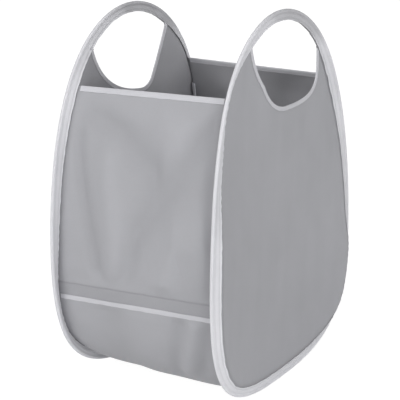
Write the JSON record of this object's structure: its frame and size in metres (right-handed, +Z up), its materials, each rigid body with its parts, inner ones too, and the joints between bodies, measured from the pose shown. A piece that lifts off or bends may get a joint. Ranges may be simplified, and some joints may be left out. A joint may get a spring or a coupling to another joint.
{
  "type": "pop up laundry hamper",
  "caption": "Pop up laundry hamper: a cloth bag hung between two egg-shaped sprung wire hoops in tape bindings, open at the top, with a hand hole in each side.",
  "frame": {"origin": "on the floor, midway between the two hoops and between front and back", "axes": "+Z up, -Y towards the front wall that the picture shows, +X towards the hoop nearer the camera; the two hoops stand at -X and +X"},
  "size_m": [0.347, 0.4818, 0.6397],
  "materials": {
    "cloth": "mid grey coated polyester cloth, matt, with a fine plain weave",
    "tape": "light grey woven binding tape, matt, with a stitched edge",
    "steel": "spring steel wire, plain",
    "label": "pale woven ribbon, blank"
  },
  "bodies": {
    "bag": {"left_hoop_wire": "steel", "left_wire_sleeve": "steel", "left_hoop_binding": "tape", "left_side_panel": "cloth", "left_handhole_binding": "tape", "front_panel": "cloth", "base_panel": "cloth", "back_panel": "cloth", "front_edge_binding": "tape", "back_edge_binding": "tape", "front_seam_tape": "tape", "back_seam_tape": "tape", "front_seam_facing": "cloth", "back_seam_facing": "cloth", "care_label": "label"},
    "right_side": {"right_hoop_wire": "steel", "right_wire_sleeve": "steel", "right_hoop_binding": "tape", "right_side_panel": "cloth", "right_handhole_binding": "tape"}
  },
  "joints": [
    {"name": "side_fold", "type": "slide", "parent": "bag", "child": "right_side", "axis": [-1, 0, 0], "range_m": [0, 0.24], "deforming": ["front_panel", "base_panel", "back_panel", "front_edge_binding", "back_edge_binding", "front_seam_tape", "back_seam_tape", "front_seam_facing", "back_seam_facing"]}
  ]
}
